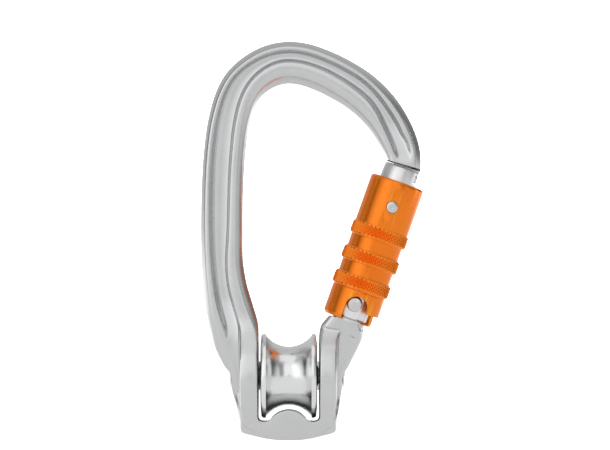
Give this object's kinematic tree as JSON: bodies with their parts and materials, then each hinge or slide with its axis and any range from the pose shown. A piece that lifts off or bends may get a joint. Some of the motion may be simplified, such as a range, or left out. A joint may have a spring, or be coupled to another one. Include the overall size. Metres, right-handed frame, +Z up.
{
  "type": "pulley carabiner",
  "caption": "Pear-shaped locking carabiner with a small grooved sheave on sealed bearings in its forked foot and a knurled lift-and-turn sleeve on its gate.",
  "frame": {"origin": "middle of the bow's inner seat, where the anchor sling bears, on the mid-plane", "axes": "+Z up the bow away from the sheave, +X towards the gate, +Y through the thickness, away from the viewer of the front"},
  "size_m": [0.0676, 0.026, 0.1206],
  "materials": {
    "body": "tumbled, softly glossy",
    "sheave": "turned, polished",
    "gate": "satin",
    "steel": "bright zinc-free stainless",
    "anodised": "gloss orange anodised",
    "bearing_steel": "ground",
    "spring_steel": "drawn wire",
    "seal": "moulded rubber",
    "nylon": "natural nylon",
    "black_nylon": "moulded black nylon"
  },
  "bodies": {
    "frame": {"frame": "body", "sheave_axle": "steel", "bearing_spacer": "steel", "thrust_washer_left": "black_nylon", "thrust_washer_right": "black_nylon", "left_bearing_inner_ring": "bearing_steel", "right_bearing_inner_ring": "bearing_steel"},
    "sheave": {"sheave": "sheave", "left_bearing_outer_ring": "bearing_steel", "left_bearing_outer_seal": "seal", "left_bearing_inner_seal": "seal", "right_bearing_outer_ring": "bearing_steel", "right_bearing_outer_seal": "seal", "right_bearing_inner_seal": "seal"},
    "left_ball_set": {"left_bearing_cage": "nylon", "left_bearing_ball_1": "bearing_steel", "left_bearing_ball_2": "bearing_steel", "left_bearing_ball_3": "bearing_steel", "left_bearing_ball_4": "bearing_steel", "left_bearing_ball_5": "bearing_steel", "left_bearing_ball_6": "bearing_steel", "left_bearing_ball_7": "bearing_steel", "left_bearing_ball_8": "bearing_steel"},
    "right_ball_set": {"right_bearing_cage": "nylon", "right_bearing_ball_1": "bearing_steel", "right_bearing_ball_2": "bearing_steel", "right_bearing_ball_3": "bearing_steel", "right_bearing_ball_4": "bearing_steel", "right_bearing_ball_5": "bearing_steel", "right_bearing_ball_6": "bearing_steel", "right_bearing_ball_7": "bearing_steel", "right_bearing_ball_8": "bearing_steel"},
    "gate": {"gate": "gate", "gate_rivet": "steel", "gate_spring": "spring_steel", "sleeve_spring": "spring_steel", "retaining_ring": "spring_steel"},
    "plunger": {"gate_plunger": "steel"},
    "sleeve_carrier": {"spring_seat": "nylon"},
    "sleeve": {"sleeve": "anodised", "sleeve_guide_pin": "steel"}
  },
  "joints": [
    {"name": "sheave_spin", "type": "hinge", "parent": "frame", "child": "sheave", "pos_m": [0, 0, -0.0885], "axis": [1, 0, 0], "continuous": true},
    {"name": "left_ball_orbit", "type": "hinge", "parent": "frame", "child": "left_ball_set", "pos_m": [0, 0, -0.0885], "axis": [1, 0, 0], "continuous": true},
    {"name": "right_ball_orbit", "type": "hinge", "parent": "frame", "child": "right_ball_set", "pos_m": [0, 0, -0.0885], "axis": [1, 0, 0], "continuous": true},
    {"name": "gate_swing", "type": "hinge", "parent": "frame", "child": "gate", "pos_m": [0.0199, 0, -0.06665], "axis": [0, -1, 0], "range_deg": [0, 26], "stiffness_Nm_per_rad": 0.08, "springref_deg": -22.92},
    {"name": "plunger_slide", "type": "slide", "parent": "gate", "child": "plunger", "axis": [0.3355, 0, 0.9421], "range_m": [0, 0.0008], "deforming": ["gate_spring"]},
    {"name": "sleeve_lift", "type": "slide", "parent": "gate", "child": "sleeve_carrier", "axis": [0.3355, 0, 0.9421], "range_m": [0, 0.003], "deforming": ["sleeve_spring"]},
    {"name": "sleeve_turn", "type": "hinge", "parent": "sleeve_carrier", "child": "sleeve", "pos_m": [0.0199, 0, -0.06665], "axis": [0.3355, 0, 0.9421], "range_deg": [0, 90], "stiffness_Nm_per_rad": 0.01, "springref_deg": -22.92}
  ],
  "couplings": [
    {"joint": "left_ball_orbit", "follows": "sheave_spin", "ratio": 0.6},
    {"joint": "right_ball_orbit", "follows": "sheave_spin", "ratio": 0.6},
    {"joint": "sleeve_lift", "follows": "gate_swing", "m_per_rad": 0.0066},
    {"joint": "plunger_slide", "follows": "gate_swing", "m_per_rad": 0.0015}
  ]
}
